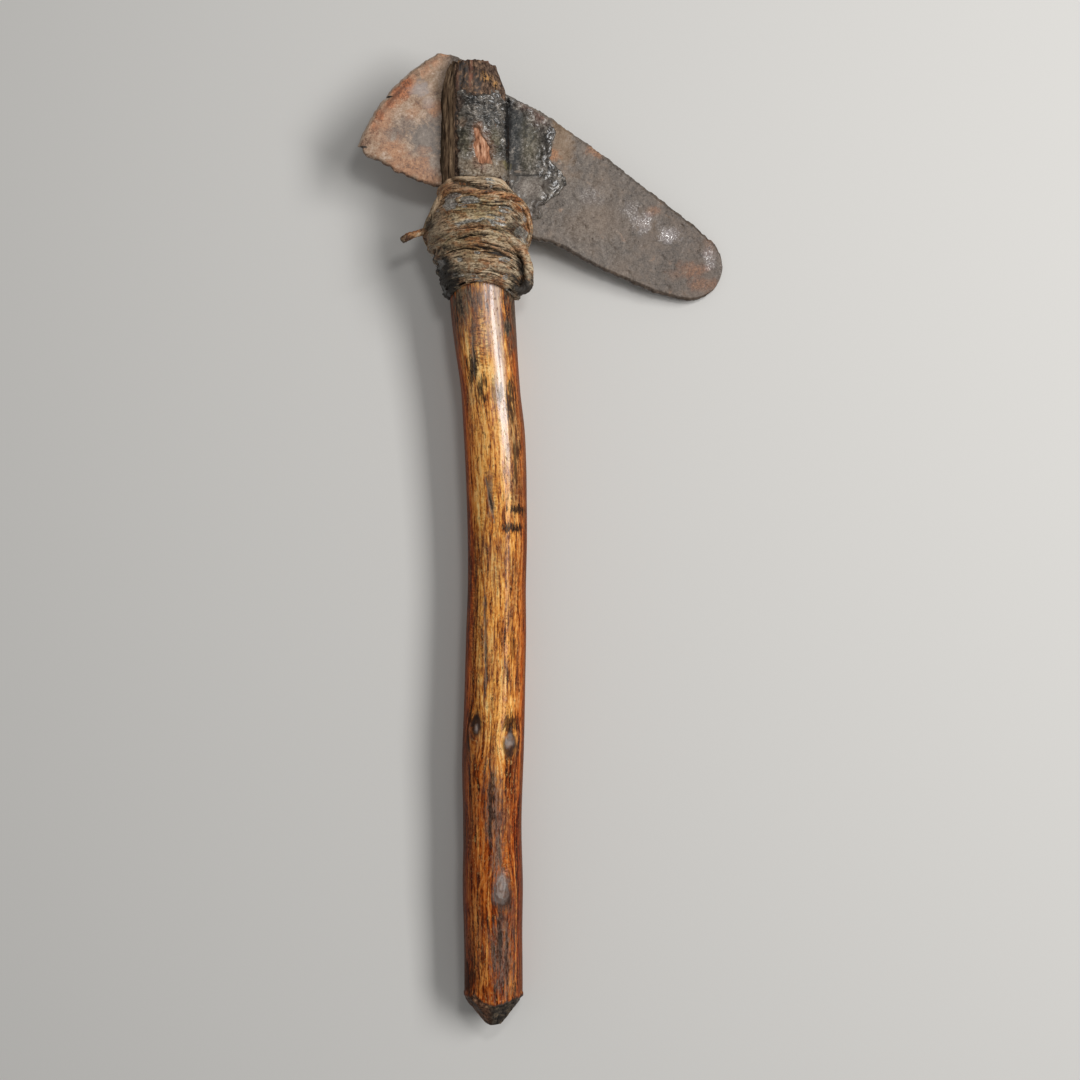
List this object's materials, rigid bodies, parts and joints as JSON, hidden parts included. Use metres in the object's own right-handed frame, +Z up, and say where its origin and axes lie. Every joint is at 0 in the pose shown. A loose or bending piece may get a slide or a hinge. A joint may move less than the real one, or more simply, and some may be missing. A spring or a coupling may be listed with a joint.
{
  "type": "hafted axe",
  "caption": "Axe with an iron plate blade set through the split head of a wooden haft, held by dark gum and a plant-fibre lashing, lying on its side.",
  "frame": {"origin": "on the ground under the middle of the lying axe", "axes": "+Y along the haft from the butt to the head, +X towards the rounded end of the blade, +Z up"},
  "size_m": [0.2154, 0.5818, 0.0552],
  "materials": {
    "wood": "hand-polished reddish brown branch wood, darker at the butt, with knots and fine cracks",
    "iron": "grey-brown pitted iron with orange-brown rust",
    "gum": "dark crackled plant gum, partly shiny",
    "fibre": "dry brown bark fibre smeared with gum"
  },
  "bodies": {
    "root": {"haft": "wood", "blade": "iron", "binding": "fibre", "gum_front_cheek": "gum", "gum_front_blade": "gum", "gum_back_cheek": "gum", "gum_back_blade": "gum"}
  },
  "joints": []
}
